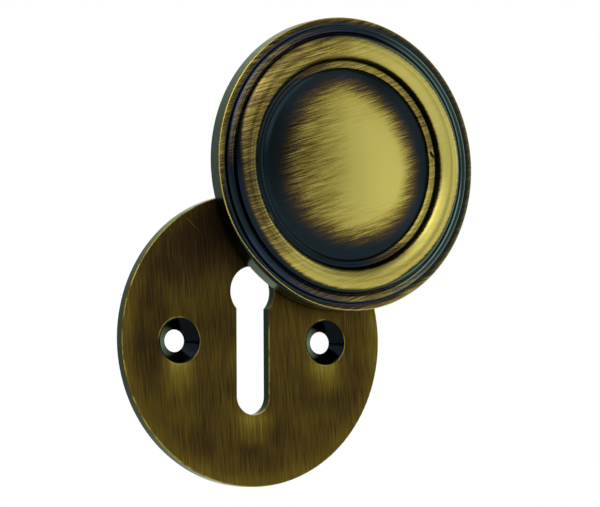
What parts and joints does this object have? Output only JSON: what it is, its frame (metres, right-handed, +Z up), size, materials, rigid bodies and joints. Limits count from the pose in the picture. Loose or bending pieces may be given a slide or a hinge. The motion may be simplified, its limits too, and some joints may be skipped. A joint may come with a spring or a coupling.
{
  "type": "keyhole escutcheon",
  "caption": "Round covered escutcheon: a back plate with a keyhole and countersunk screw holes, and a moulded round cover that swings aside on a rivet.",
  "frame": {"origin": "on the back face of the back plate, midway between the screw holes", "axes": "+Z up the door, +X to the right seen from the front, -Y out of the door towards the viewer"},
  "size_m": [0.0672, 0.0077, 0.0808],
  "materials": {
    "plate_brass": "aged brass, brushed upright and lacquered",
    "cover_brass": "aged brass, turned, dark in the hollows and relieved on the high parts",
    "rivet_brass": "plain brass, spread cold at the tail",
    "washer_steel": "spring steel, plain"
  },
  "bodies": {
    "fixed_plate": {"back_plate": "plate_brass", "spring_washer": "washer_steel"},
    "cover": {"swing_cover": "cover_brass", "pivot_rivet": "rivet_brass"}
  },
  "joints": [
    {"name": "cover_swing", "type": "hinge", "parent": "fixed_plate", "child": "cover", "pos_m": [0, -0.002, 0.02015], "axis": [0, -1, 0], "continuous": true}
  ]
}
